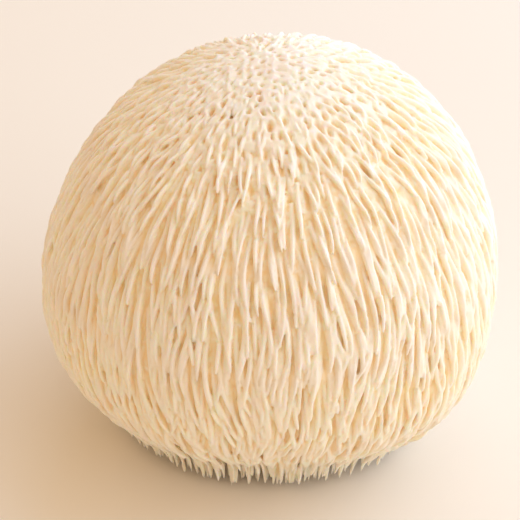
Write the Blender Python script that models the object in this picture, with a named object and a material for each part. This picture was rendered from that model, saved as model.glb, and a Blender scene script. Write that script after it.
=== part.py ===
"""Lion's mane mushroom, as picked, standing on the flat cut where it was sliced from its log.

Metres, +Z up, with the cut in the plane z = 0 and the mushroom's width and depth centred on the origin. It grew in one
piece, so it is one closed mesh. Rings of cells cover the ball of flesh from the crown down to the stub, and the middle
of each cell is drawn out into the tip of one spine: short and upright on the crown, longer and combed downhill over the
shoulder, hanging at the hem.
"""

import math
import random

import bmesh
import bpy
from mathutils import Vector

# Driving dimensions, in metres
FLESH_RADIUS = 0.0553  # of the ball of flesh that the spines grow from
FLESH_HEIGHT = 0.0512  # from the cut to the middle of that ball
CUT_RADIUS = 0.0265  # of the flat cut underneath
CELL_WIDTH = 0.00275  # from one spine to the next, round the mushroom
CROWN_CELL = 0.0036  # from one ring of spines to the next, on the crown
HANGING_CELL = 0.0073  # the same, where the spines hang at full length
CROWN_RISE = 0.0034  # how far a crown spine stands up from the flesh
HANGING_RISE = 0.0046  # how far the tip of a hanging spine stands off the flesh
CROWN_REACH = 0.0006  # how far downhill of its root a crown spine ends
HANGING_REACH = 0.0098  # the same for a hanging spine
FLOOR_GAP = 0.0010  # the least height of a tip over the cut's plane

# Angles from the crown, in degrees
HANGING_FROM, HANGING_AT = 8.0, 62.0  # spines lengthen between these
DROOP_FROM, DROOP_AT = 104.0, 148.0  # they leave the flesh between these, and hang straight down
STUB_ANGLE = math.degrees(math.pi - math.asin(CUT_RADIUS / FLESH_RADIUS))

# Shares
CORNER_JITTER = 0.16  # of a cell, for each corner of it
LENGTH_JITTER = 0.24  # of how far a spine reaches
RISE_JITTER = 0.12  # of how far it stands off the flesh
MEETING_CORNERS = 0.34  # corners nearer than this share of a cell's width are one

# Swells and hollows of the ball: azimuth and angle from the crown in degrees, half width in degrees, height in metres.
# Azimuth 0 is +X, and -90 faces the viewer.
SWELLS = (
    (0.0, 85.0, 60.0, 0.0017),
    (180.0, 85.0, 60.0, -0.0010),
    (160.0, 58.0, 34.0, -0.0028),
    (45.0, 45.0, 26.0, 0.0008),
    (-35.0, 112.0, 24.0, 0.0042),
    (-92.0, 128.0, 30.0, -0.0028),
    (-160.0, 108.0, 28.0, 0.0026),
)

SEED = 4
UP = Vector((0.0, 0.0, 1.0))
FLESH_CENTRE = Vector((0.0, 0.0, FLESH_HEIGHT))
FLESH_COLOUR = (0.86, 0.72, 0.52, 1.0)


def between(low, high, share):
    """The value at this share of the way from low to high."""
    return low + (high - low) * share


def eased(polar, start, end):
    """0 up to the start and 1 from the end, easing in between. All are angles from the crown, polar in radians."""
    share = min(1.0, max(0.0, (math.degrees(polar) - start) / (end - start)))
    return share * share * (3.0 - 2.0 * share)


def hanging(polar):
    """0 on the crown and 1 where the spines have their full length."""
    return eased(polar, HANGING_FROM, HANGING_AT)


def direction(polar, azimuth):
    """Unit vector at this angle from the crown, and this angle round it."""
    across = math.sin(polar)
    return Vector((across * math.cos(azimuth), across * math.sin(azimuth), math.cos(polar)))


def flesh_point(polar, azimuth):
    """The place on the flesh in this direction, with the swells of the ball."""
    outward = direction(polar, azimuth)
    radius = FLESH_RADIUS
    for swell_azimuth, swell_polar, half_width, height in SWELLS:
        peak = direction(math.radians(swell_polar), math.radians(swell_azimuth))
        radius += height * math.exp(-((outward.angle(peak) / math.radians(half_width)) ** 2))
    return FLESH_CENTRE + outward * radius


def ring_borders():
    """Angles from the crown of the borders between rings of cells, from the crown's cap down to the stub."""
    stub = math.radians(STUB_ANGLE)
    borders = [CROWN_CELL / 2 / FLESH_RADIUS]
    while borders[-1] < stub:
        height = between(CROWN_CELL, HANGING_CELL, hanging(borders[-1]))
        borders.append(borders[-1] + height / FLESH_RADIUS)
    fit = (stub - borders[0]) / (borders[-1] - borders[0])
    return [borders[0] + (border - borders[0]) * fit for border in borders]


def ring_sides(borders, rng):
    """For each ring, the azimuths of the sides between its cells. Each ring starts somewhere else."""
    rings = []
    for upper, lower in zip(borders, borders[1:]):
        girth = 2 * math.pi * FLESH_RADIUS * math.sin((upper + lower) / 2)
        count = max(5, round(girth / CELL_WIDTH))
        start = rng.random()
        rings.append([2 * math.pi * (start + side) / count for side in range(count)])
    return rings


class Border:
    """The closed line of corners between two rings of cells.

    corners holds its vertices in order of azimuth. of_above and of_below say which of them each cell side of the ring
    above, and of the ring below, ends at.
    """

    def __init__(self, mesh, polar, above, below, rng):
        full_turn = 2 * math.pi
        cell = CELL_WIDTH / (FLESH_RADIUS * math.sin(polar))
        height = between(CROWN_CELL, HANGING_CELL, hanging(polar)) / FLESH_RADIUS
        places = sorted(azimuth % full_turn for azimuth in above or below)
        for azimuth in below if above else ():
            if min(self.apart(azimuth, place) for place in places) > MEETING_CORNERS * cell:
                places.append(azimuth % full_turn)
        places.sort()
        self.of_above = [self.nearest(places, azimuth) for azimuth in above]
        self.of_below = [self.nearest(places, azimuth) for azimuth in below]
        self.corners = []
        for place in places:
            moved = place + rng.uniform(-1, 1) * CORNER_JITTER * cell / 2
            lowered = polar + rng.uniform(-1, 1) * CORNER_JITTER * height * (1 if above and below else 0)
            self.corners.append(mesh.verts.new(flesh_point(lowered, moved)))

    @staticmethod
    def apart(one, other):
        """The angle between two azimuths."""
        return abs((one - other + math.pi) % (2 * math.pi) - math.pi)

    @classmethod
    def nearest(cls, places, azimuth):
        """Index of the place nearest to this azimuth."""
        return min(range(len(places)), key=lambda index: cls.apart(places[index], azimuth))

    def run(self, start, end):
        """The corners from index start round to index end."""
        count = len(self.corners)
        return [self.corners[(start + step) % count] for step in range((end - start) % count + 1)]


def cover_with_cells(mesh, rng):
    """Covers the flesh with cells, and returns the border that is left open above the stub."""
    polars = ring_borders()
    rings = ring_sides(polars, rng)
    borders = [
        Border(mesh, polar, above, below, rng)
        for polar, above, below in zip(polars, [[], *rings], [*rings, []])
    ]
    mesh.faces.new(borders[0].corners)
    for upper, lower in zip(borders, borders[1:]):
        sides = list(zip(upper.of_below, lower.of_above))
        for (top_left, low_left), (top_right, low_right) in zip(sides, sides[1:] + sides[:1]):
            top = upper.run(top_left, top_right)
            low = lower.run(low_left, low_right)
            mesh.faces.new(low + top[::-1])
    return borders[-1].corners


def spine_tip(root, rng):
    """Where the spine ends that grows at this place on the flesh.

    On the crown it stands up. Further down it is combed downhill over the next spines, and on the underside it hangs.
    """
    outward = (root - FLESH_CENTRE).normalized()
    polar = outward.angle(UP)
    share = hanging(polar)
    downhill = (outward * outward.z - UP).normalized()
    combed = downhill.lerp(-UP, eased(polar, DROOP_FROM, DROOP_AT)).normalized()
    length = 1 + LENGTH_JITTER * rng.uniform(-1, 1)
    height = 1 + RISE_JITTER * rng.uniform(-1, 1)
    sideways = outward.cross(downhill) * rng.uniform(-1, 1) * CELL_WIDTH / 5
    tip = root + sideways
    tip += combed * between(CROWN_REACH, HANGING_REACH, share) * length
    tip += outward * between(CROWN_RISE, HANGING_RISE, share) * height
    if tip.z < FLOOR_GAP:
        tip = root.lerp(tip, (root.z - FLOOR_GAP) / (root.z - tip.z))
    return tip


def close_with_cut(mesh, rim):
    """Runs the stub from the open rim down to the flat cut, and closes it."""
    edges = [mesh.edges.get((one, other)) for one, other in zip(rim, rim[1:] + rim[:1])]
    grown = bmesh.ops.extrude_edge_only(mesh, edges=edges)["geom"]
    for corner in (item for item in grown if isinstance(item, bmesh.types.BMVert)):
        across = Vector((corner.co.x, corner.co.y, 0.0))
        corner.co = across.normalized() * CUT_RADIUS
    bmesh.ops.holes_fill(mesh, edges=[item for item in grown if isinstance(item, bmesh.types.BMEdge)])


def middle(mesh):
    """The middle of the mesh's width and depth, in the plane of the cut."""
    xs = [corner.co.x for corner in mesh.verts]
    ys = [corner.co.y for corner in mesh.verts]
    return Vector((min(xs) + max(xs), min(ys) + max(ys), 0.0)) / 2


def mushroom_mesh():
    """The whole mushroom as one closed mesh."""
    rng = random.Random(SEED)
    mesh = bmesh.new()
    rim = cover_with_cells(mesh, rng)
    cells = list(mesh.faces)
    for tip in bmesh.ops.poke(mesh, faces=cells)["verts"]:
        tip.co = spine_tip(tip.co, rng)
    close_with_cut(mesh, rim)
    bmesh.ops.translate(mesh, vec=-middle(mesh), verts=mesh.verts)
    bmesh.ops.recalc_face_normals(mesh, faces=mesh.faces)
    made = bpy.data.meshes.new("mushroom")
    mesh.to_mesh(made)
    mesh.free()
    return made


def flesh_material():
    """Matt cream flesh."""
    material = bpy.data.materials.new("cream_flesh")
    material.use_nodes = True
    shader = material.node_tree.nodes["Principled BSDF"]
    shader.inputs["Base Color"].default_value = FLESH_COLOUR
    shader.inputs["Roughness"].default_value = 0.6
    shader.inputs["Metallic"].default_value = 0.0
    return material


def clear_scene():
    """Removes what is in the scene."""
    for old in list(bpy.data.objects):
        bpy.data.objects.remove(old)


def main():
    """Makes the mushroom."""
    clear_scene()
    mushroom = bpy.data.objects.new("mushroom", mushroom_mesh())
    mushroom.data.materials.append(flesh_material())
    bpy.context.scene.collection.objects.link(mushroom)


main()
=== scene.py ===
"""The looks of a lion's mane mushroom: its porous crown, its combed soft spines, and the cut it stands on.

Everything is in metres, +Z up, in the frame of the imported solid. The head is a ball of flesh. Spines grow
from it, lie downhill over each other like thatch, and come off the flesh below the waist to hang as a fringe
over the cut. They have grown together where they touch, so they are melted into one skin, which is then cut
into belts. Only the spines far under the head hang free.
"""

from __future__ import annotations

import logging
import math
from collections.abc import Callable
from dataclasses import dataclass, field
from enum import Enum

import bpy
import numpy as np
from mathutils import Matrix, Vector
from mathutils.kdtree import KDTree


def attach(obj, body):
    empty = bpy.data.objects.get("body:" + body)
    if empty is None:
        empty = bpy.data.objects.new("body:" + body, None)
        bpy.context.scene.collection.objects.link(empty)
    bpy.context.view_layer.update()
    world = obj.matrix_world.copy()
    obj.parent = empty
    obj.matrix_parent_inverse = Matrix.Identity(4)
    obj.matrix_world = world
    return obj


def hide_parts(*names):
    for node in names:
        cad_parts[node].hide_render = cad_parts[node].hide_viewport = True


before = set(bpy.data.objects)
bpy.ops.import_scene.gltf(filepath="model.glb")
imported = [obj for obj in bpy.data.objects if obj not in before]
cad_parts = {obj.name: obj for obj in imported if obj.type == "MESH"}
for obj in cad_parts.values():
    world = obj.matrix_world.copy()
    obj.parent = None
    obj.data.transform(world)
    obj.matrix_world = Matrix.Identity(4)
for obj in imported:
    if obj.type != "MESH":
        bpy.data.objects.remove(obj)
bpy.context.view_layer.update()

LOG = logging.getLogger("lions_mane")
NODE = "mushroom"
BODY = "root"
MM = 0.001
TINY = 1e-12  # the least length that anything is divided by
LATER = 1e-9  # what puts the lower of two vertices second, where they stand at the same angle

Array = np.ndarray
Place = tuple[float, float, float]
Shade = tuple[float, float, float]
Span = tuple[float, float]


class Zone(Enum):
    """Belts of the grown-together coat, from the crown down, each with about as many triangles as another."""

    CROWN = "crown_coat"
    SHOULDER = "shoulder_coat"
    FLANK = "flank_coat"
    WAIST = "waist_coat"
    BELLY = "belly_coat"


def eased(value: Array, start: float, end: float) -> Array:
    """0 up to start and 1 from end, with an easy bend at both."""
    share = np.clip((np.asarray(value, float) - start) / (end - start), 0.0, 1.0)
    return share * share * (3.0 - 2.0 * share)


def unit(vectors: Array) -> Array:
    """The vectors at length one."""
    return vectors / np.maximum(np.linalg.norm(vectors, axis=-1, keepdims=True), TINY)


def toward(polar: float, azimuth: float) -> Array:
    """Unit vector at an angle from the crown and an angle round it.

    Args:
        polar: the angle from the crown, in degrees.
        azimuth: the angle round it, in degrees.

    Returns:
        The vector.
    """
    across = math.sin(math.radians(polar))
    turn = math.radians(azimuth)
    return np.array([across * math.cos(turn), across * math.sin(turn), math.cos(math.radians(polar))])


@dataclass(frozen=True)
class Swell:
    """A soft rise or hollow of the ball, in degrees and metres. Azimuth 0 is +X, and -90 faces the viewer."""

    azimuth: float
    polar: float
    half_width: float
    height: float


@dataclass
class Ball:
    """The ball of flesh that the spines grow from, as in the solid."""

    radius: float = 0.0553
    height: float = 0.0512
    parting: Span = (-0.0012, 0.0078)
    cut_slack: float = 0.00001
    swells: tuple[Swell, ...] = (
        Swell(0.0, 85.0, 60.0, 0.0017),
        Swell(180.0, 85.0, 60.0, -0.0010),
        Swell(160.0, 58.0, 34.0, -0.0028),
        Swell(45.0, 45.0, 26.0, 0.0008),
        Swell(-35.0, 112.0, 24.0, 0.0042),
        Swell(-92.0, 128.0, 30.0, -0.0028),
        Swell(-160.0, 108.0, 28.0, 0.0026),
    )
    cut_radius: float = field(init=False)
    centre: Array = field(init=False)

    def __post_init__(self) -> None:
        """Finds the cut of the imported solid, and sets the ball over the middle of it."""
        corners = np.array([corner.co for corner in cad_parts[NODE].data.vertices])
        cut = corners[corners[:, 2] < self.cut_slack][:, :2]
        middle = (cut.min(axis=0) + cut.max(axis=0)) / 2
        self.cut_radius = float(np.linalg.norm(cut - middle, axis=1).max())
        self.centre = np.array([middle[0], middle[1], self.height])

    def outward(self, points: Array) -> Array:
        """Unit vectors from the ball's centre to the points."""
        return unit(points - self.centre)

    def downhill(self, outward: Array) -> Array:
        """Which way is downhill, along the ball and away from the parting of the spines.

        Args:
            outward: unit vectors from the ball's centre, one row for each.

        Returns:
            A unit vector for each.
        """
        away = outward - toward(0.0, 0.0) - np.array([*self.parting, 0.0]) / self.radius
        away -= outward * (away * outward).sum(axis=-1, keepdims=True)
        return unit(away)

    def polar(self, outward: Array) -> Array:
        """Angles from the crown, in radians."""
        return np.arccos(np.clip(outward[..., 2], -1.0, 1.0))

    def reach(self, outward: Array) -> Array:
        """Distance from the centre to the flesh in these directions.

        Args:
            outward: unit vectors from the ball's centre, one row for each.

        Returns:
            The distances.
        """
        total = np.full(outward.shape[:-1], self.radius)
        for swell in self.swells:
            cosine = outward @ toward(swell.polar, swell.azimuth)
            angle = np.degrees(np.arccos(np.clip(cosine, -1.0, 1.0)))
            total += swell.height * np.exp(-((angle / swell.half_width) ** 2))
        return total

    def height_over(self, points: Array) -> Array:
        """How far the points stand off the flesh."""
        away = np.linalg.norm(points - self.centre, axis=-1)
        return away - self.reach(self.outward(points))

    def at(self, outward: Array, height: Array | float) -> Array:
        """The points this far off the flesh in these directions."""
        return self.centre + outward * (self.reach(outward) + height)[..., None]


@dataclass
class Lay:
    """How the coat of spines lies at each angle from the crown.

    Lengths are in metres. A span is the angles from the crown, in degrees, that a change starts and ends at.
    """

    crown_top: float = 0.0037
    hanging_top: float = 0.0051
    crown_thickness: float = 0.00045
    thickness: float = 0.0018
    root_depth: float = 0.0006
    crown_length: float = 0.0052
    flank_length: float = 0.0225
    hem_length: float = 0.0235
    crown_across: float = 0.0025
    hanging_across: float = 0.00118
    hem_across: float = 0.0012
    crown_along: float = 0.0040
    hanging_along: float = 0.0066
    seen_depth: float = 0.003
    sunk_share: float = 0.92
    top_rises: Span = (8.0, 62.0)
    ground_thickens: Span = (8.0, 42.0)
    ground_sinks: Span = (112.0, 132.0)
    spines_lengthen: Span = (6.0, 62.0)
    hem_lengthens: Span = (80.0, 112.0)
    spines_close_up: Span = (10.0, 50.0)
    hem_opens: Span = (96.0, 108.0)
    rows_part: Span = (14.0, 60.0)
    spines_droop: Span = (104.0, 148.0)

    def top(self, polar: Array) -> Array:
        """How far the coat's outside stands off the flesh."""
        share = eased(np.degrees(polar), *self.top_rises)
        return self.crown_top + (self.hanging_top - self.crown_top) * share

    def ground(self, polar: Array) -> Array:
        """How far the grown-together roots of the spines stand off the flesh.

        Args:
            polar: angles from the crown, in radians.

        Returns:
            The heights.
        """
        angle = np.degrees(polar)
        thicker = (self.thickness - self.crown_thickness) * eased(angle, *self.ground_thickens)
        left = 1.0 - self.sunk_share * eased(angle, *self.ground_sinks)
        return (self.top(polar) - (self.crown_thickness + thicker)) * left

    def length(self, polar: Array) -> Array:
        """The usual length of a spine.

        Args:
            polar: angles from the crown, in radians.

        Returns:
            The lengths.
        """
        angle = np.degrees(polar)
        down_to_flank = (self.flank_length - self.crown_length) * eased(angle, *self.spines_lengthen)
        down_to_hem = (self.hem_length - self.flank_length) * eased(angle, *self.hem_lengthens)
        return self.crown_length + down_to_flank + down_to_hem

    def across(self, polar: Array) -> Array:
        """From one spine to the next, round the head.

        Args:
            polar: angles from the crown, in radians.

        Returns:
            The distances.
        """
        angle = np.degrees(polar)
        down_to_flank = (self.hanging_across - self.crown_across) * eased(angle, *self.spines_close_up)
        down_to_hem = (self.hem_across - self.hanging_across) * eased(angle, *self.hem_opens)
        return self.crown_across + down_to_flank + down_to_hem

    def along(self, polar: Array) -> Array:
        """From one spine to the next, downhill."""
        share = eased(np.degrees(polar), *self.rows_part)
        return self.crown_along + (self.hanging_along - self.crown_along) * share

    def droop(self, polar: Array) -> Array:
        """How much of a spine's direction is straight down."""
        return eased(np.degrees(polar), *self.spines_droop)

    def depth(self, ball: Ball, points: Array) -> Array:
        """0 deep between the spines and 1 on the outside of the coat."""
        top = self.top(ball.polar(ball.outward(points)))
        return np.clip(1.0 + (ball.height_over(points) - top) / self.seen_depth, 0.0, 1.0)


class Ripple:
    """A smooth random value at each place, from a few waves that cross each other."""

    def __init__(self, rng: np.random.Generator, shortest: float, longest: float, waves: int = 7) -> None:
        """Draws the waves.

        Args:
            rng: where the random numbers come from.
            shortest: the shortest wave, in metres.
            longest: the longest wave, in metres.
            waves: how many waves are added up.
        """
        lengths = rng.uniform(shortest, longest, waves)
        self.pushes = unit(rng.normal(size=(waves, 3))) * (2.0 * math.pi / lengths)[:, None]
        self.phases = rng.uniform(0.0, 2.0 * math.pi, waves)

    def __call__(self, points: Array) -> Array:
        """Values from about -1 to 1 at the points."""
        return np.sin(points @ self.pushes.T + self.phases).sum(axis=-1) / math.sqrt(len(self.phases))


def scatter(
    ball: Ball,
    rng: np.random.Generator,
    spacing: Callable[[Array], tuple[Array, Array]],
    first: float,
    last: float,
    tries: int,
) -> Array:
    """Spreads points over the ball, none of them nearer to another than the spacing.

    Args:
        ball: what the points lie on.
        rng: where the random numbers come from.
        spacing: gives the least distance round the head and downhill, at angles from the crown in radians.
        first: the least angle from the crown, in degrees.
        last: the greatest angle from the crown, in degrees.
        tries: how many places are tried.

    Returns:
        Unit vectors from the ball's centre, one row for each point.
    """
    heights = rng.uniform(math.cos(math.radians(last)), math.cos(math.radians(first)), tries)
    turns = rng.uniform(0.0, 2.0 * math.pi, tries)
    level = np.sqrt(1.0 - heights**2)
    outward = np.stack([level * np.cos(turns), level * np.sin(turns), heights], axis=1)
    downhill = ball.downhill(outward)
    lateral = np.cross(outward, downhill)
    across, along = spacing(ball.polar(outward))
    box = float(along.max()) / ball.radius
    cells = np.floor(outward / box).astype(int)
    kept: dict[tuple[int, int, int], list[Array]] = {}
    found: list[Array] = []
    reaches = [(i, j, k) for i in (-1, 0, 1) for j in (-1, 0, 1) for k in (-1, 0, 1)]
    for index in range(tries):
        here, cell = outward[index], cells[index]
        around = [(cell[0] + i, cell[1] + j, cell[2] + k) for i, j, k in reaches]
        near = [point for place in around for point in kept.get(place, ())]
        if near:
            gaps = (np.array(near) - here) * ball.radius
            down, side = gaps @ downhill[index] / along[index], gaps @ lateral[index] / across[index]
            if (down * down + side * side).min() < 1.0:
                continue
        kept.setdefault((cell[0], cell[1], cell[2]), []).append(here)
        found.append(here)
    return np.array(found)


@dataclass
class Skin:
    """Triangles: the places of corners, and three indices for each, going round as seen from outside."""

    points: Array
    triangles: Array
    normals: Array | None = None

    @classmethod
    def joined(cls, skins: list[Skin]) -> Skin:
        """All the skins as one.

        Args:
            skins: the skins, without normals.

        Returns:
            The new skin.
        """
        starts = np.cumsum([0] + [len(skin.points) for skin in skins[:-1]])
        moved = [skin.triangles + start for skin, start in zip(skins, starts)]
        return cls(np.concatenate([skin.points for skin in skins]), np.concatenate(moved))

    def mesh(self, name: str) -> bpy.types.Mesh:
        """A smooth mesh of the skin.

        Args:
            name: the mesh's name.

        Returns:
            The mesh.
        """
        mesh = bpy.data.meshes.new(name)
        count = len(self.triangles)
        mesh.vertices.add(len(self.points))
        mesh.vertices.foreach_set("co", np.ascontiguousarray(self.points, np.float32).ravel())
        mesh.loops.add(count * 3)
        mesh.loops.foreach_set("vertex_index", np.ascontiguousarray(self.triangles, np.int32).ravel())
        mesh.polygons.add(count)
        mesh.polygons.foreach_set("loop_start", np.arange(count, dtype=np.int32) * 3)
        mesh.polygons.foreach_set("use_smooth", np.ones(count, bool))
        mesh.update(calc_edges=True)
        if self.normals is not None:
            mesh.normals_split_custom_set_from_vertices(self.normals)
        return mesh

    def modified(self, kind: str, **settings: object) -> Skin:
        """The skin after a modifier.

        Args:
            kind: the modifier's kind.
            settings: its settings.

        Returns:
            The new skin, without normals.
        """
        mesh = self.mesh("modified")
        shape = bpy.data.objects.new("modified", mesh)
        bpy.context.scene.collection.objects.link(shape)
        modifier = shape.modifiers.new("modifier", kind)
        for setting, value in settings.items():
            setattr(modifier, setting, value)
        seen = shape.evaluated_get(bpy.context.evaluated_depsgraph_get())
        result = seen.to_mesh()
        result.calc_loop_triangles()
        points = np.empty(len(result.vertices) * 3, np.float32)
        result.vertices.foreach_get("co", points)
        triangles = np.empty(len(result.loop_triangles) * 3, np.int32)
        result.loop_triangles.foreach_get("vertices", triangles)
        seen.to_mesh_clear()
        bpy.data.objects.remove(shape)
        bpy.data.meshes.remove(mesh)
        return Skin(points.reshape(-1, 3).astype(float), triangles.reshape(-1, 3))

    def melted(self, grain: float) -> Skin:
        """The outside of all the closed shapes in the skin, grown together, in steps of this size."""
        return self.modified("REMESH", mode="VOXEL", voxel_size=grain, adaptivity=0.0)

    def thinned(self, triangles: int) -> Skin:
        """The skin with about this many triangles, fewest where it is flattest."""
        return self.modified("DECIMATE", ratio=min(1.0, triangles / len(self.triangles)))

    def edges(self) -> tuple[Array, Array]:
        """The ends of every edge, in both directions.

        Returns:
            The indices of the first ends, and of the others.
        """
        one = self.triangles.ravel()
        other = np.roll(self.triangles, -1, axis=1).ravel()
        return np.concatenate([one, other]), np.concatenate([other, one])

    def blurred(self, values: Array, passes: int, strength: float) -> Array:
        """Values of the corners, moved towards the mean of their neighbours.

        Args:
            values: one value or one row for each corner.
            passes: how many times they are moved.
            strength: how much of the way to the mean they go each time.

        Returns:
            The new values.
        """
        one, other = self.edges()
        total = np.bincount(one, minlength=len(self.points)).clip(1)
        flat = values.reshape(len(values), -1).copy()
        for _ in range(passes):
            for column in range(flat.shape[1]):
                mean = np.bincount(one, flat[other, column], len(self.points)) / total
                flat[:, column] += (mean - flat[:, column]) * strength
        return flat.reshape(values.shape)

    def with_normals(self) -> Skin:
        """The skin with its smooth normals, which any part of it keeps.

        Returns:
            The new skin.
        """
        a, b, c = (self.points[self.triangles[:, corner]] for corner in range(3))
        facing = np.cross(b - a, c - a)
        corners = self.triangles.ravel()
        columns = [np.bincount(corners, np.repeat(facing[:, axis], 3), len(self.points)) for axis in range(3)]
        return Skin(self.points, self.triangles, unit(np.stack(columns, axis=1)))

    def part(self, chosen: Array) -> tuple[Skin, Array]:
        """A part of the skin.

        Args:
            chosen: which triangles.

        Returns:
            The part, and which corners of this skin it has.
        """
        kept = self.triangles[chosen]
        used = np.zeros(len(self.points), bool)
        used[kept] = True
        normals = None if self.normals is None else self.normals[used]
        return Skin(self.points[used], (np.cumsum(used) - 1)[kept], normals), used


def stitched(counts: list[int]) -> Array:
    """Triangles between rings of vertices that go round the same axis and start at the same angle.

    Args:
        counts: how many vertices are in each ring, from the top ring down.

    Returns:
        Three vertex indices for each triangle, going round as seen from outside.
    """
    found = []
    start = 0
    for upper, lower in zip(counts, counts[1:]):
        below = start + upper
        uppers = np.arange(upper if upper > 1 else 0)
        lowers = np.arange(lower if lower > 1 else 0)
        places = np.concatenate([(uppers + 1) / upper, (lowers + 1) / lower + LATER])
        kinds = np.concatenate([np.zeros(len(uppers), int), np.ones(len(lowers), int)])
        order = kinds[np.argsort(places, kind="stable")]
        high = np.cumsum(order == 0) - (order == 0)
        low = np.cumsum(order == 1) - (order == 1)
        third = np.where(order == 0, start + (high + 1) % upper, below + (low + 1) % lower)
        found.append(np.stack([start + high % upper, below + low % lower, third], axis=1))
        start = below
    return np.concatenate(found)


class Nodes:
    """A material's node tree, with short ways to add to it."""

    def __init__(self, name: str) -> None:
        """Starts a material with a Principled shader.

        Args:
            name: the material's name.
        """
        self.material = bpy.data.materials.new(name)
        self.material.use_nodes = True
        self.tree = self.material.node_tree
        self.shader = self.tree.nodes["Principled BSDF"]

    def add(self, kind: str, **settings: object) -> bpy.types.Node:
        """Adds a node.

        Args:
            kind: the node's kind.
            settings: its settings.

        Returns:
            The node.
        """
        node = self.tree.nodes.new(kind)
        for setting, value in settings.items():
            setattr(node, setting, value)
        return node

    def link(self, source: bpy.types.NodeSocket, target: bpy.types.NodeSocket) -> None:
        """Joins an output to an input."""
        self.tree.links.new(source, target)

    def value(self, name: str, output: str = "Fac") -> bpy.types.NodeSocket:
        """The mesh's own value of this name."""
        return self.add("ShaderNodeAttribute", attribute_name=name).outputs[output]

    def noise(self, places: bpy.types.NodeSocket, scale: float, detail: float) -> bpy.types.NodeSocket:
        """Soft random values.

        Args:
            places: where each point reads the noise.
            scale: how many waves there are to the metre.
            detail: how many times finer waves are laid on top.

        Returns:
            The noise, from 0 to 1.
        """
        noise = self.add("ShaderNodeTexNoise")
        noise.inputs["Scale"].default_value = scale
        noise.inputs["Detail"].default_value = detail
        self.link(places, noise.inputs["Vector"])
        return noise.outputs["Fac"]

    def ramp(self, source: bpy.types.NodeSocket, stops: list[tuple[float, Shade]]) -> bpy.types.NodeSocket:
        """A colour for each value of the source.

        Args:
            source: the value.
            stops: places from 0 to 1, each with its colour.

        Returns:
            The colour.
        """
        ramp = self.add("ShaderNodeValToRGB")
        ramp.color_ramp.interpolation = "EASE"
        while len(ramp.color_ramp.elements) < len(stops):
            ramp.color_ramp.elements.new(0.5)
        for element, (place, shade) in zip(ramp.color_ramp.elements, stops):
            element.position = place
            element.color = (*shade, 1.0)
        self.link(source, ramp.inputs["Fac"])
        return ramp.outputs["Color"]

    def maths(
        self, operation: str, first: bpy.types.NodeSocket, second: bpy.types.NodeSocket | float
    ) -> bpy.types.NodeSocket:
        """The sum, product or other operation of two values.

        Args:
            operation: what is done with them.
            first: the first value.
            second: the second value.

        Returns:
            The result.
        """
        node = self.add("ShaderNodeMath", operation=operation)
        self.link(first, node.inputs[0])
        if isinstance(second, float):
            node.inputs[1].default_value = second
        else:
            self.link(second, node.inputs[1])
        return node.outputs["Value"]

    def brighter(self, colour: bpy.types.NodeSocket, value: bpy.types.NodeSocket) -> bpy.types.NodeSocket:
        """The colour, lightened or darkened.

        Args:
            colour: the colour.
            value: what its brightness is multiplied by.

        Returns:
            The new colour.
        """
        node = self.add("ShaderNodeHueSaturation")
        self.link(colour, node.inputs["Color"])
        self.link(value, node.inputs["Value"])
        return node.outputs["Color"]

    def bump(self, height: bpy.types.NodeSocket, distance: float) -> None:
        """Gives the shader fine bumps.

        Args:
            height: the height at each point, from 0 to 1.
            distance: how far 1 stands over 0, in metres.
        """
        bump = self.add("ShaderNodeBump")
        bump.inputs["Strength"].default_value = 1.0
        bump.inputs["Distance"].default_value = distance
        self.link(height, bump.inputs["Height"])
        self.link(bump.outputs["Normal"], self.shader.inputs["Normal"])


@dataclass(frozen=True)
class SoftFinish:
    """Soft, waxy mushroom flesh: cream outside, painted shade making the gaps golden tan, a little light let
    in.

    The colours are for the deepest, the middle and the outside of the coat; the deepest is painted shade, and
    the outside is the cream of the flesh, paled a little as a painted highlight on the crests. Streaks and
    mottles are counted to the metre, and the reach of light and the height of streaks are in metres.
    """

    name: str
    deep: Shade
    middle: Shade
    outside: Shade
    roughness: float = 0.55
    light_let_in: float = 0.8
    light_reach: float = 0.0018
    reach_of_each_colour: Shade = (1.0, 0.70, 0.45)
    bend_of_light: float = 1.4
    bloom: float = 0.1
    bloom_roughness: float = 0.5
    middle_at: float = 0.5
    streaks: float = 2400.0
    streak_height: float = 0.00006
    mottles: float = 160.0
    mottle_share: float = 0.10
    finer_waves: float = 3.0

    def material(self) -> bpy.types.Material:
        """Makes the material.

        Returns:
            The material.
        """
        nodes = Nodes(self.name)
        stops = [(0.0, self.deep), (self.middle_at, self.middle), (1.0, self.outside)]
        # Painted shade in the gaps and a painted highlight on the crests, read from the mesh.
        colour = nodes.ramp(nodes.value("painted_shade"), stops)
        mottle = nodes.noise(nodes.value("grain", "Vector"), self.mottles, self.finer_waves)
        tone = nodes.maths("ADD", nodes.maths("MULTIPLY", mottle, self.mottle_share), nodes.value("tone"))
        nodes.link(nodes.brighter(colour, tone), nodes.shader.inputs["Base Color"])
        streak = nodes.noise(nodes.value("grain", "Vector"), self.streaks, self.finer_waves)
        nodes.bump(streak, self.streak_height)
        nodes.shader.inputs["Roughness"].default_value = self.roughness
        nodes.shader.inputs["IOR"].default_value = self.bend_of_light
        let_in = nodes.maths("MULTIPLY", nodes.value("let_in"), self.light_let_in)
        nodes.link(let_in, nodes.shader.inputs["Subsurface Weight"])
        nodes.shader.inputs["Subsurface Scale"].default_value = self.light_reach
        nodes.shader.inputs["Subsurface Radius"].default_value = self.reach_of_each_colour
        nodes.shader.inputs["Sheen Weight"].default_value = self.bloom
        nodes.shader.inputs["Sheen Roughness"].default_value = self.bloom_roughness
        return nodes.material


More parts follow.
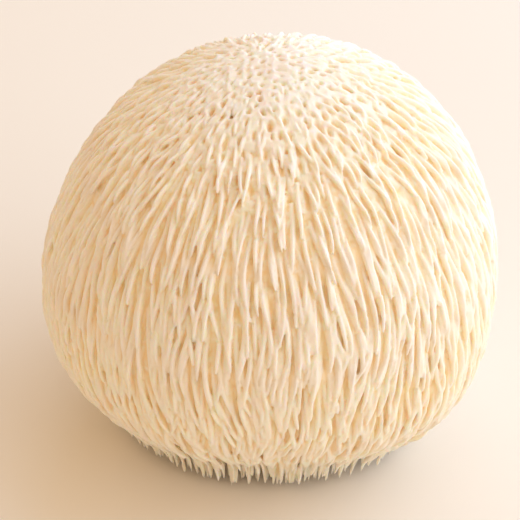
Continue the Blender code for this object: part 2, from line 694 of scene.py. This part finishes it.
@dataclass
class Dresser:
    """Makes pieces of the mushroom out of skins, with what their finish reads of them."""

    ball: Ball
    lay: Lay
    finish: SoftFinish = SoftFinish(
        name="cream_coat",
        # The deep colour is painted shade for the gaps; the outside one is cream flesh with a painted
        # highlight.
        deep=(0.96, 0.73, 0.41),
        middle=(0.945, 0.86, 0.725),
        outside=(0.925, 0.87, 0.81),
    )
    gap_depth: float = 0.0011
    groove_depth: float = 0.0005
    blur: float = 0.9
    groove_passes: int = 8
    gap_passes: int = 32
    groove_level: float = 0.5
    gap_level: float = 0.55
    shares: tuple[float, float, float] = (0.3, 0.35, 0.35)
    hem_deepening: float = 0.42
    deepens_over: Span = (68.0, 102.0)
    streak_stretch: float = 0.12
    made: bpy.types.Material = field(init=False)

    def __post_init__(self) -> None:
        """Makes the finish."""
        self.made = self.finish.material()

    def painted_shade(self, skin: Skin) -> Array:
        """How far each corner of a skin is from a gap to a crest, for painted shade and a painted highlight.

        Args:
            skin: the skin.

        Returns:
            0 for painted shade in the gaps and 1 for a painted highlight on the crests, for each corner.
        """
        height = self.ball.height_over(skin.points)
        near = skin.blurred(height, self.groove_passes, self.blur)
        around = skin.blurred(near, self.gap_passes, self.blur)
        crest = np.clip(self.groove_level + (height - near) / self.groove_depth, 0.0, 1.0)
        ridge = np.clip(self.gap_level + (height - around) / self.gap_depth, 0.0, 1.0)
        of_crest, of_ridge, of_depth = self.shares
        painted_shade = of_crest * crest + of_ridge * ridge + of_depth * self.lay.depth(self.ball, skin.points)
        return painted_shade * self.deepening(skin.points)

    def deepening(self, points: Array) -> Array:
        """1 over most of the head, and less towards the hem, which makes the colour there deeper and more
        golden.
        """
        angle = np.degrees(self.ball.polar(self.ball.outward(points)))
        return 1.0 - self.hem_deepening * eased(angle, *self.deepens_over)

    def piece(
        self, name: str, skin: Skin, painted_shade: Array, tone: Array, let_in: Array | float = 1.0
    ) -> bpy.types.Object:
        """Makes a piece that rides on the body.

        Args:
            name: the piece's name.
            skin: its shape.
            painted_shade: 0 to 1 at each corner, from painted shade in golden gaps to a painted highlight on
                cream crests.
            tone: how bright each corner is, around 1.
            let_in: how much of the usual light each corner lets in, from 0 to 1.

        Returns:
            The piece.
        """
        mesh = skin.mesh(name)
        outward = self.ball.outward(skin.points)
        polar = self.ball.polar(outward)
        around = unit(outward * np.array([1.0, 1.0, 0.0])) * self.ball.radius
        around[:, 2] = polar * self.ball.radius * self.streak_stretch
        share = np.broadcast_to(let_in, painted_shade.shape)
        for value_name, numbers in (("painted_shade", painted_shade), ("tone", tone), ("let_in", share)):
            value = mesh.attributes.new(value_name, "FLOAT", "POINT")
            value.data.foreach_set("value", numbers.astype(np.float32))
        grain = mesh.attributes.new("grain", "FLOAT_VECTOR", "POINT")
        grain.data.foreach_set("vector", around.astype(np.float32).ravel())
        mesh.materials.append(self.made)
        piece = bpy.data.objects.new(name, mesh)
        bpy.context.scene.collection.objects.link(piece)
        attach(piece, BODY)
        LOG.info("%s: %d triangles", name, len(skin.triangles))
        return piece


@dataclass
class Ground:
    """The grown-together roots of the spines, open to view on the crown, with pits that draw out downhill.

    Lengths are in metres, angles are from the crown in degrees, and spreads and stretches are shares.
    """

    ball: Ball
    lay: Lay
    pit_spacing: float = 0.0023
    pit_half_width: float = 0.00058
    pit_depth: float = 0.0022
    pit_width_spread: Span = (0.6, 1.25)
    pit_depth_spread: Span = (0.5, 1.0)
    pits_until: float = 38.0
    pits_end: float = 41.0
    pits_draw_out: Span = (6.0, 34.0)
    pit_stretch: float = 3.0
    drawn_out_shallower: float = 0.5
    gap_across: float = 0.8
    gap_along: float = 0.86
    gap_stretch: float = 0.9
    tries: int = 9000
    lump_height: float = 0.00018
    lump_waves: Span = (1.6 * MM, 4.2 * MM)
    lump_wave_count: int = 9
    plain_grid: float = 0.0008
    inner_grid: float = 0.002
    inner_height: float = -0.0006
    last: float = 130.0
    seed: int = 5
    lumps: Ripple = field(init=False)
    pits: Array = field(init=False)
    pit_widths: Array = field(init=False)
    pit_depths: Array = field(init=False)

    def __post_init__(self) -> None:
        """Spreads the lumps and the pits."""
        rng = np.random.default_rng(self.seed)
        self.lumps = Ripple(rng, *self.lump_waves, self.lump_wave_count)
        self.pits = scatter(self.ball, rng, self.pit_gaps, 0.0, self.pits_until, self.tries)
        self.pit_widths = self.pit_half_width * rng.uniform(*self.pit_width_spread, len(self.pits))
        shallower = 1.0 - self.drawn_out_shallower * self.drawn_out(self.ball.polar(self.pits))
        self.pit_depths = self.pit_depth * shallower * rng.uniform(*self.pit_depth_spread, len(self.pits))

    def drawn_out(self, polar: Array) -> Array:
        """0 for round pits and 1 for pits at their longest."""
        return eased(np.degrees(polar), *self.pits_draw_out)

    def pit_gaps(self, polar: Array) -> tuple[Array, Array]:
        """The least distances between pits, round the head and downhill."""
        along = self.pit_spacing * (self.gap_along + self.gap_stretch * self.drawn_out(polar))
        return np.full(len(polar), self.pit_spacing * self.gap_across), along

    def height(self, outward: Array) -> Array:
        """How far the ground stands off the flesh in these directions.

        Args:
            outward: unit vectors from the ball's centre, one row for each.

        Returns:
            The heights.
        """
        polar = self.ball.polar(outward)
        height = self.lay.ground(polar) + self.lump_height * self.lumps(outward * self.ball.radius)
        near = np.flatnonzero(np.degrees(polar) < self.pits_end)
        if not len(near):
            return height
        downhill = self.ball.downhill(self.pits)
        lateral = np.cross(self.pits, downhill)
        drawn = 1.0 + self.pit_stretch * self.drawn_out(self.ball.polar(self.pits))
        hollow = np.zeros(len(near))
        for pit, width in enumerate(self.pit_widths):
            gap = (outward[near] - self.pits[pit]) * self.ball.radius
            down, over = gap @ downhill[pit] / (width * drawn[pit]), gap @ lateral[pit] / width
            hollow = np.maximum(hollow, self.pit_depths[pit] * np.exp(-((down**2 + over**2) ** 2)))
        height[near] -= hollow
        return height

    def rings(self, first: float, last: float, grid: float) -> list[Array]:
        """Places round rings from one angle from the crown to another.

        Args:
            first: the first ring's angle from the crown, in degrees.
            last: the last ring's.
            grid: about how far apart the rings and the places on them are.

        Returns:
            Unit vectors from the ball's centre, an array for each ring.
        """
        count = max(2, round(math.radians(last - first) * self.ball.radius / grid) + 1)
        found = []
        for polar in np.radians(np.linspace(first, last, count)):
            girth = 2.0 * math.pi * self.ball.radius * math.sin(polar)
            sides = 1 if polar == 0.0 else max(6, round(girth / grid))
            turns = np.arange(sides) * 2.0 * math.pi / sides
            level = np.full(sides, math.sin(polar))
            up = np.full(sides, math.cos(polar))
            found.append(np.stack([level * np.cos(turns), level * np.sin(turns), up], axis=1))
        return found

    def shell(self, grain: float) -> Skin:
        """The ground down to the hem, as a closed shell that is finer on the crown.

        Args:
            grain: how far apart its points are on the crown.

        Returns:
            The shell.
        """
        fine = self.rings(0.0, self.pits_end, grain)
        outer = fine + self.rings(self.pits_end, self.last, self.plain_grid)[1:]
        inner = self.rings(0.0, self.last, self.inner_grid)[::-1]
        outward = np.concatenate(outer)
        over = self.ball.at(outward, self.height(outward))
        under = self.ball.at(np.concatenate(inner), self.inner_height)
        return Skin(np.concatenate([over, under]), stitched([len(ring) for ring in outer + inner]))


@dataclass
class Head:
    """The ball of flesh itself, seen from below between the hanging spines, with its stub and its cut."""

    ball: Ball
    ground: Ground
    grid: float = 0.0019
    height: float = 0.0003
    lump_share: float = 0.8
    lump_radius: float = 0.05
    stub_rows: tuple[float, ...] = (0.34, 0.67, 1.0)
    # Painted shade: the flesh seen between the hanging spines gets a golden colour near that of the gaps.
    flesh_painted_shade: float = 0.3
    cut_relief: float = 0.75
    tone: float = 0.95

    def build(self, dresser: Dresser) -> bpy.types.Object:
        """Makes the head's piece, which stands for the solid.

        Args:
            dresser: what makes the piece.

        Returns:
            The piece.
        """
        stub = 180.0 - math.degrees(math.asin(self.ball.cut_radius / self.ball.radius))
        rings = self.ground.rings(0.0, stub, self.grid)
        outward = np.concatenate(rings)
        lumps = self.ground.lumps(outward * self.lump_radius)
        flesh = self.ball.at(outward, self.height + self.lump_share * self.ground.lump_height * lumps)
        under, under_counts = self.stub(len(rings[-1]), flesh[-len(rings[-1]) :])
        counts = [len(ring) for ring in rings] + under_counts
        skin = Skin(np.concatenate([flesh, under]), stitched(counts))
        painted_shade = np.repeat([self.flesh_painted_shade, self.cut_relief], [len(flesh), len(under)])
        piece = dresser.piece("head", skin, painted_shade, np.full(len(painted_shade), self.tone))
        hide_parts(NODE)
        return piece

    def stub(self, count: int, rim: Array) -> tuple[Array, list[int]]:
        """The short stub under the last ring, and the flat cut across it.

        Args:
            count: how many vertices each ring of the stub has.
            rim: the vertices of the last ring of the head.

        Returns:
            The points of the stub and the cut, and how many are in each ring.
        """
        axis = np.array([self.ball.centre[0], self.ball.centre[1], 0.0])
        foot = axis + unit((rim - axis) * np.array([1.0, 1.0, 0.0])) * self.ball.cut_radius
        rows = [rim + (foot - rim) * share for share in self.stub_rows]
        counts = [count] * len(self.stub_rows)
        radius = self.ball.cut_radius - self.grid
        while radius > self.grid:
            here = max(6, round(2.0 * math.pi * radius / self.grid))
            turns = np.arange(here) * 2.0 * math.pi / here
            rows.append(axis + radius * np.stack([np.cos(turns), np.sin(turns), np.zeros(here)], axis=1))
            counts.append(here)
            radius -= self.grid
        return np.concatenate([*rows, axis[None, :]]), [*counts, 1]


@dataclass(frozen=True)
class Habit:
    """How single spines stray from the usual one.

    A span is the least and the most, or where a change starts and ends. Waves and gaps are in metres, turns
    are in radians, and the rest are shares.
    """

    half_width: Span = (0.78, 1.2)
    length: Span = (0.72, 1.22)
    tone: Span = (0.93, 0.99)
    swirl: float = 0.11
    swirl_waves: Span = (14 * MM, 36 * MM)
    lean: float = 0.075
    crown_lean: float = 0.12
    sway: Span = (0.03, 0.13)
    pace: Span = (0.5, 1.2)
    phase: Span = (0.0, 1.0)
    tip_height: Span = (0.8, 1.0)
    dip: Span = (-0.5, 0.5)
    dips_over: Span = (0.65, 1.0)
    floor_gap: Span = (0.0, 0.0022)
    climb: Span = (-0.6, 1.4)
    wholly_met: float = 0.7
    partly_met: Span = (0.4, 0.9)


@dataclass
class Spines:
    """Soft tapered spines, each traced along the coat from its root to its tip.

    Lengths are in metres, angles are from the crown in degrees, and shares of a spine run from root to tip.
    """

    ball: Ball
    lay: Lay
    crown_half_width: float = 0.00048
    half_width: float = 0.00061
    hem_half_width: float = 0.00060
    flatness: float = 1.2
    sides: int = 6
    strides: int = 30
    habit: Habit = Habit()
    roots_over: Span = (5.0, 147.0)
    root_spacing: float = 0.834
    tries: int = 130_000
    flesh_lets_go: Span = (12.0, 40.0)
    hangs: Span = (98.0, 116.0)
    widens: Span = (20.0, 56.0)
    point_length_mm: Span = (2.2, 6.0)
    longer_point: float = 0.8
    point_shares: Span = (0.1, 0.7)
    bluntness: float = 0.6
    root_width: float = 0.9
    swelling: float = 0.1
    thinning: float = 0.2
    swells_until: float = 0.35
    rises_from: float = 0.05
    risen_at: float = 0.8
    fused_rises_sooner: float = 0.3
    fused_lower: float = 0.5
    floor_gap: float = 0.0008
    floor_passes: int = 3
    follower_share: float = 0.5
    more_followers: float = 0.2
    followers_increase: Span = (88.0, 104.0)
    meeting_reach: float = 0.0022
    meeting_part: Span = (0.4, 0.9)
    bends_over: Span = (0.2, 1.0)
    fused_meets_less: float = 0.6
    seed: int = 11
    stops: tuple[float, ...] = (0.0, 0.13, 0.26, 0.4, 0.54, 0.68, 0.8, 0.89, 0.95, 0.985)
    roots: Array = field(init=False)
    fused: Array = field(init=False)
    lengths: Array = field(init=False)
    paths: Array = field(init=False)
    halves: Array = field(init=False)
    points_of: Array = field(init=False)
    tones: Array = field(init=False)

    def __post_init__(self) -> None:
        """Grows all the spines."""
        rng = np.random.default_rng(self.seed)
        self.roots = scatter(self.ball, rng, self.root_gaps, *self.roots_over, self.tries)
        count = len(self.roots)
        angle = np.degrees(self.ball.polar(self.roots))
        self.fused = 1.0 - eased(angle, *self.flesh_lets_go)
        hanging = eased(angle, *self.hangs)
        wider = (self.half_width - self.crown_half_width) * eased(angle, *self.widens)
        widths = self.crown_half_width + wider
        widths = widths + (self.hem_half_width - widths) * hanging
        self.halves = widths * rng.uniform(*self.habit.half_width, count)
        self.points_of = rng.uniform(*self.point_length_mm, count) * MM * (1.0 + self.longer_point * hanging)
        self.tones = rng.uniform(*self.habit.tone, count)
        self.lengths = self.lay.length(np.radians(angle)) * rng.uniform(*self.habit.length, count)
        self.paths = self.trace(rng)
        self.meet(rng)

    def root_gaps(self, polar: Array) -> tuple[Array, Array]:
        """The least distances between roots, round the head and downhill."""
        return self.lay.across(polar) * self.root_spacing, self.lay.along(polar) * self.root_spacing

    def trace(self, rng: np.random.Generator) -> Array:
        """Traces each spine's middle, and shortens the spines that would reach the floor.

        Args:
            rng: where the random numbers come from.

        Returns:
            The points, for each spine from its root to its tip.
        """
        count = len(self.roots)
        habit, fused = self.habit, self.fused
        swirl = Ripple(rng, *habit.swirl_waves)
        lean = rng.normal(0.0, 1.0, count) * (habit.lean + habit.crown_lean * fused)
        sway = rng.uniform(*habit.sway, count)
        pace = rng.uniform(*habit.pace, count)
        phase = rng.uniform(*habit.phase, count)
        tip_height = rng.uniform(*habit.tip_height, count) * (1.0 - self.fused_lower * fused)
        dip = np.maximum(fused, rng.uniform(*habit.dip, count))
        gap = self.floor_gap + rng.uniform(*habit.floor_gap, count)
        risen_at = self.risen_at - self.fused_rises_sooner * fused
        down = np.array([0.0, 0.0, -1.0])

        def traced(reach: Array) -> Array:
            """Traces the middles of all spines.

            Args:
                reach: the length of each spine.

            Returns:
                The points, for each spine from its root to its tip.
            """
            step = reach / self.strides
            start = self.lay.ground(self.ball.polar(self.roots)) - self.lay.root_depth
            places = [self.ball.at(self.roots, start)]
            for stride in range(self.strides):
                here = places[-1]
                outward = self.ball.outward(here)
                polar = self.ball.polar(outward)
                downhill = self.ball.downhill(outward)
                lateral = np.cross(outward, downhill)
                share = (stride + 1) / self.strides
                turn = habit.swirl * swirl(here) + lean + sway * np.sin(2 * math.pi * (pace * share + phase))
                flow = downhill * np.cos(turn)[:, None] + lateral * np.sin(turn)[:, None]
                base = self.lay.ground(polar) - self.lay.root_depth
                top = self.lay.top(polar) - self.halves
                rise = eased(share, self.rises_from, risen_at) * tip_height
                rise = rise * (1.0 - dip * eased(share, *habit.dips_over))
                missing = base + (top - base) * rise - self.ball.height_over(here)
                climb = np.clip(missing / step, *habit.climb)
                droop = self.lay.droop(polar)[:, None]
                heading = unit(flow + outward * climb[:, None]) * (1.0 - droop) + down * droop
                places.append(here + unit(heading) * step[:, None])
            return np.stack(places, axis=1)

        for _ in range(self.floor_passes):
            low = (traced(self.lengths)[:, :, 2] < gap[:, None]).argmax(axis=1)
            self.lengths = np.where(low > 0, self.lengths * low / self.strides, self.lengths)
        return traced(self.lengths)

    def meet(self, rng: np.random.Generator) -> None:
        """Bends the ends of some spines onto a neighbour's, so that they grow together in a Y.

        Args:
            rng: where the random numbers come from.
        """
        count, stations = self.paths.shape[:2]
        angle = np.degrees(self.ball.polar(self.roots))
        followers = self.follower_share + self.more_followers * eased(angle, *self.followers_increase)
        leads = rng.random(count) > followers
        wholly = rng.random(count) < self.habit.wholly_met
        pull = np.where(wholly, 1.0, rng.uniform(*self.habit.partly_met, count))
        first, last = (int(stations * share) for share in self.meeting_part)
        tree = search_tree(self.paths[leads][:, first:last].reshape(-1, 3))
        share = eased(np.linspace(0.0, 1.0, stations), *self.bends_over)
        pull *= 1.0 - self.fused_meets_less * self.fused
        for index in np.flatnonzero(~leads):
            tip = self.paths[index, -1]
            place, _, gap = tree.find(tip)
            if gap < self.meeting_reach:
                self.paths[index] += share[:, None] * (np.array(place) - tip) * pull[index]

    def skin(self, chosen: Array) -> Skin:
        """The skin of the chosen spines, each a closed tube.

        Args:
            chosen: which spines.

        Returns:
            The skin.
        """
        paths = self.paths[chosen]
        count, stations = paths.shape[:2]
        stops = np.array(self.stops) * (stations - 1)
        before = np.minimum(stops.astype(int), stations - 2)
        part = (stops - before)[None, :, None]
        middles = paths[:, before] * (1.0 - part) + paths[:, before + 1] * part
        ahead = np.concatenate([middles[:, 1:], paths[:, -1:]], axis=1)
        behind = np.concatenate([middles[:, :1], middles[:, :-1]], axis=1)
        along = unit(ahead - behind)
        outward = self.ball.outward(middles)
        side = np.cross(outward, self.ball.downhill(outward))
        side = unit(side - along * (side * along).sum(axis=-1, keepdims=True))
        over = np.cross(along, side)
        turns = np.arange(self.sides) * 2.0 * math.pi / self.sides
        wide = side[:, :, None] * np.cos(turns)[None, None, :, None]
        high = over[:, :, None] * np.sin(turns)[None, None, :, None] * self.flatness
        tubes = middles[:, :, None] + (wide + high) * self.half_widths(chosen)[:, :, None, None]
        each = len(self.stops) * self.sides + 2
        points = np.concatenate([tubes.reshape(count, -1, 3), paths[:, :1], paths[:, -1:]], axis=1)
        steps = (np.arange(count) * each)[:, None, None]
        return Skin(points.reshape(-1, 3), (self.tube()[None] + steps).reshape(-1, 3))

    def rounded(self, gap: Array, along: Array, points: Array) -> Array:
        """How far points are from spines' middles, where every side of a spine counts as its half width away.

        Args:
            gap: from the nearest place in the middle of the spine to each point.
            along: which way the spine runs there.
            points: the points.

        Returns:
            The distances.
        """
        along = unit(along)
        outward = self.ball.outward(points)
        over = unit(outward - along * (outward * along).sum(1, keepdims=True))
        height = (gap * over).sum(1, keepdims=True)
        return np.linalg.norm(gap - over * height * (1.0 - 1.0 / self.flatness), axis=1)

    def half_widths(self, chosen: Array) -> Array:
        """The half widths of spines, which swell a little, thin slowly, and end in a point.

        Args:
            chosen: which spines.

        Returns:
            The half widths, a row for each spine.
        """
        stops = np.array(self.stops)
        swollen = self.root_width + self.swelling * eased(stops, 0.0, self.swells_until)
        body = swollen * (1.0 - self.thinning * eased(stops, self.swells_until, 1.0))
        point = np.clip(self.points_of[chosen] / self.lengths[chosen], *self.point_shares)[:, None]
        near_end = np.clip((stops[None, :] - (1.0 - point)) / point, 0.0, 1.0)
        pointed = np.power(np.clip(1.0 - near_end**2, 0.0, 1.0), self.bluntness)
        return self.halves[chosen][:, None] * body * pointed

    def tube(self) -> Array:
        """The triangles of one closed tube.

        Returns:
            Three vertex indices for each triangle.
        """
        rows, sides = len(self.stops), self.sides
        row, side = np.meshgrid(np.arange(rows - 1), np.arange(sides), indexing="ij")
        a, b = row * sides + side, row * sides + (side + 1) % sides
        c, d = b + sides, a + sides
        around = np.concatenate([np.stack(corners, -1).reshape(-1, 3) for corners in ([a, c, b], [a, d, c])])
        near, past, last = np.arange(sides), (np.arange(sides) + 1) % sides, (rows - 1) * sides
        root = np.stack([near, past, np.full(sides, rows * sides)], axis=-1)
        tip = np.stack([last + past, last + near, np.full(sides, rows * sides + 1)], axis=-1)
        return np.concatenate([around, root, tip])


def search_tree(points: Array) -> KDTree:
    """A search tree over the points.

    Args:
        points: places, one row for each.

    Returns:
        The tree.
    """
    tree = KDTree(len(points))
    for index, point in enumerate(points):
        tree.insert(point, index)
    tree.balance()
    return tree


@dataclass
class Coat:
    """The coat of spines, grown together where they touch. Those far under the head hang free.

    Lengths are in metres, but for what its name says is in millimetres, and angles in degrees.
    """

    ball: Ball
    ground: Ground
    spines: Spines
    grain: float = 0.0003
    smoothing: int = 2
    triangles: int = 890_000
    blur: float = 0.5
    tone_passes: int = 2
    crispness: float = 0.8
    moves: Span = (-0.00012, 0.00022)
    stays_from_mm: Span = (0.3, 0.5)
    free_from: float = 128.0
    border_fade: float = 0.0035
    # Painted shade on the free spines: golden at their roots under the head, cream towards their tips.
    hem_root_painted_shade: float = 0.15
    hem_painted_shade_gain: float = 0.6
    hem_cream_at: float = 0.7
    hem_end_painted_shades: Span = (0.1, 0.7)

    def build(self, dresser: Dresser) -> None:
        """Makes the pieces.

        Args:
            dresser: what makes the pieces.
        """
        roots = self.ball.polar(self.spines.roots)
        free = np.degrees(roots) >= self.free_from
        self.build_hem(dresser, np.flatnonzero(free))
        fused = np.flatnonzero(~free)
        skin = Skin.joined([self.ground.shell(self.grain), self.spines.skin(fused)]).melted(self.grain)
        skin.points = skin.blurred(skin.points, self.smoothing, self.blur)
        inside = self.ball.height_over(skin.points) < 0.0
        skin, _ = skin.part(~inside[skin.triangles].any(axis=1))
        LOG.info("coat: %d triangles before it is thinned", len(skin.triangles))
        skin = skin.thinned(self.triangles)
        nearest, over = self.nearest(skin, fused)
        near = np.clip(over, *self.moves) * (1.0 - eased(over / MM, *self.stays_from_mm))
        skin = skin.with_normals()
        skin.points -= skin.normals * (self.crispness * near)[:, None]
        skin = skin.with_normals()
        painted_shade = dresser.painted_shade(skin)
        tone = skin.blurred(self.spines.tones[nearest], self.tone_passes, self.blur)
        angles = self.ball.polar(self.ball.outward(skin.points))
        highest = angles[skin.triangles].min(axis=1)
        borders = np.quantile(highest, np.linspace(0.0, 1.0, len(Zone) + 1))
        borders[-1] = math.pi
        apart = np.abs(angles[:, None] - borders[None, 1:-1]).min(axis=1) * self.ball.radius
        let_in = eased(apart, 0.0, self.border_fade)
        for zone, first, last in zip(Zone, borders, borders[1:]):
            part, used = skin.part((highest >= first) & (highest < last))
            dresser.piece(zone.value, part, painted_shade[used], tone[used], let_in[used])

    def build_hem(self, dresser: Dresser, chosen: Array) -> None:
        """Makes the piece of the free spines, with painted shade that makes them golden at their roots and
        cream at their tips.

        Args:
            dresser: what makes the piece.
            chosen: which spines are free.
        """
        cream = eased(np.array(self.spines.stops), 0.0, self.hem_cream_at)
        rings = self.hem_root_painted_shade + self.hem_painted_shade_gain * cream
        one = np.concatenate([np.repeat(rings, self.spines.sides), self.hem_end_painted_shades])
        tone = np.repeat(self.spines.tones[chosen], len(one))
        skin = self.spines.skin(chosen)
        dresser.piece("hem_spines", skin, np.tile(one, len(chosen)) * dresser.deepening(skin.points), tone)

    def nearest(self, skin: Skin, chosen: Array) -> tuple[Array, Array]:
        """Finds the nearest spine to each corner of the skin.

        Args:
            skin: the skin.
            chosen: which spines it was made from.

        Returns:
            For each corner, which spine is nearest, and how far the corner stands over it.
        """
        paths = self.spines.paths[chosen]
        stations = paths.shape[1]
        tree = search_tree(paths.reshape(-1, 3))
        found = np.array([tree.find(point)[1] for point in skin.points])
        spine, station = np.divmod(found, stations)
        widths = self.spines.half_widths(chosen)
        over = np.full(len(found), np.inf)
        for start in (np.maximum(station - 1, 0), np.minimum(station, stations - 2)):
            first, along = paths[spine, start], paths[spine, start + 1] - paths[spine, start]
            share = np.clip(((skin.points - first) * along).sum(1) / (along * along).sum(1), 0.0, 1.0)
            gap = skin.points - first - along * share[:, None]
            place = (start + share) / (stations - 1)
            stops = np.array(self.spines.stops)
            after = np.clip(np.searchsorted(stops, place), 1, len(stops) - 1)
            part = np.clip((place - stops[after - 1]) / (stops[after] - stops[after - 1]), 0.0, 1.0)
            width = widths[spine, after - 1] * (1.0 - part) + widths[spine, after] * part
            over = np.minimum(over, self.spines.rounded(gap, along, skin.points) - width)
        return chosen[spine], over


@dataclass(frozen=True)
class SoftLight:
    """A square soft light: its place and width in metres, its power in watts, and its colour."""

    name: str
    place: Place
    width: float
    power: float
    shade: Shade

    def build(self, aim: Place) -> None:
        """Makes the light.

        Args:
            aim: the place it is turned to.
        """
        light = bpy.data.lights.new(self.name, "AREA")
        light.size = self.width
        light.energy = self.power
        light.color = self.shade
        lamp = bpy.data.objects.new(self.name, light)
        lamp.location = self.place
        lamp.rotation_euler = (Vector(aim) - Vector(self.place)).to_track_quat("-Z", "Y").to_euler()
        bpy.context.scene.collection.objects.link(lamp)


@dataclass
class Studio:
    """A warm pale floor in warm light from all round, two soft cool lights, and the camera.

    The key light is on the right, and the rim light behind. Lengths are in metres, the elevation is in
    degrees, and the lens and the sensor are in millimetres.
    """

    aim: Place = (-0.0024, -0.0029, 0.0514)
    elevation: float = 41.0
    distance: float = 0.42
    nearest: float = 0.01
    lens: float = 108.4
    sensor: float = 36.0
    key: SoftLight = SoftLight("key", (0.966, 0.0, 0.309), 1.8, 13.6, (0.79, 0.90, 1.0))
    rim: SoftLight = SoftLight("rim", (0.628, 0.527, 0.624), 1.8, 10.3, (0.42, 0.66, 1.0))
    surrounding_shade: Shade = (1.0, 0.72, 0.463)
    surrounding_strength: float = 0.777
    floor_half: float = 3.0
    floor_drop: float = 0.0001
    floor_shade: Shade = (0.89, 0.86, 0.80)
    floor_roughness: float = 0.7

    def build(self) -> None:
        """Makes the floor, the lights and the camera."""
        self.floor()
        self.lights()
        self.camera()

    def floor(self) -> None:
        """A large level floor."""
        size = self.floor_half
        mesh = bpy.data.meshes.new("floor")
        corners = [(-size, -size, 0.0), (size, -size, 0.0), (size, size, 0.0), (-size, size, 0.0)]
        mesh.from_pydata(corners, [], [(0, 1, 2, 3)])
        floor = bpy.data.objects.new("floor", mesh)
        floor.location.z = -self.floor_drop
        nodes = Nodes("floor_cream")
        nodes.shader.inputs["Base Color"].default_value = (*self.floor_shade, 1.0)
        nodes.shader.inputs["Roughness"].default_value = self.floor_roughness
        mesh.materials.append(nodes.material)
        bpy.context.scene.collection.objects.link(floor)

    def lights(self) -> None:
        """A large cool key, a cooler rim light, and warm light from all round."""
        self.key.build(self.aim)
        self.rim.build(self.aim)
        world = bpy.data.worlds.new("surroundings")
        world.use_nodes = True
        background = world.node_tree.nodes["Background"]
        background.inputs["Color"].default_value = (*self.surrounding_shade, 1.0)
        background.inputs["Strength"].default_value = self.surrounding_strength
        bpy.context.scene.world = world
        bpy.context.scene.view_settings.view_transform = "Standard"

    def camera(self) -> None:
        """The camera, in front of the mushroom and looking down on it."""
        lens = bpy.data.cameras.new("camera")
        lens.lens = self.lens
        lens.sensor_width = self.sensor
        lens.clip_start = self.nearest
        camera = bpy.data.objects.new("camera", lens)
        tilt = math.radians(self.elevation)
        back = Vector((0.0, -math.cos(tilt), math.sin(tilt)))
        camera.location = Vector(self.aim) + back * self.distance
        camera.rotation_euler = (-back).to_track_quat("-Z", "Y").to_euler()
        bpy.context.scene.collection.objects.link(camera)
        bpy.context.scene.camera = camera


def main() -> None:
    """Builds the mushroom and the studio round it."""
    logging.basicConfig(level=logging.INFO, format="%(name)s: %(message)s")
    Studio().build()
    ball = Ball()
    lay = Lay()
    dresser = Dresser(ball, lay)
    ground = Ground(ball, lay)
    Head(ball, ground).build(dresser)
    Coat(ball, ground, Spines(ball, lay)).build(dresser)


if __name__ == "__main__":
    main()
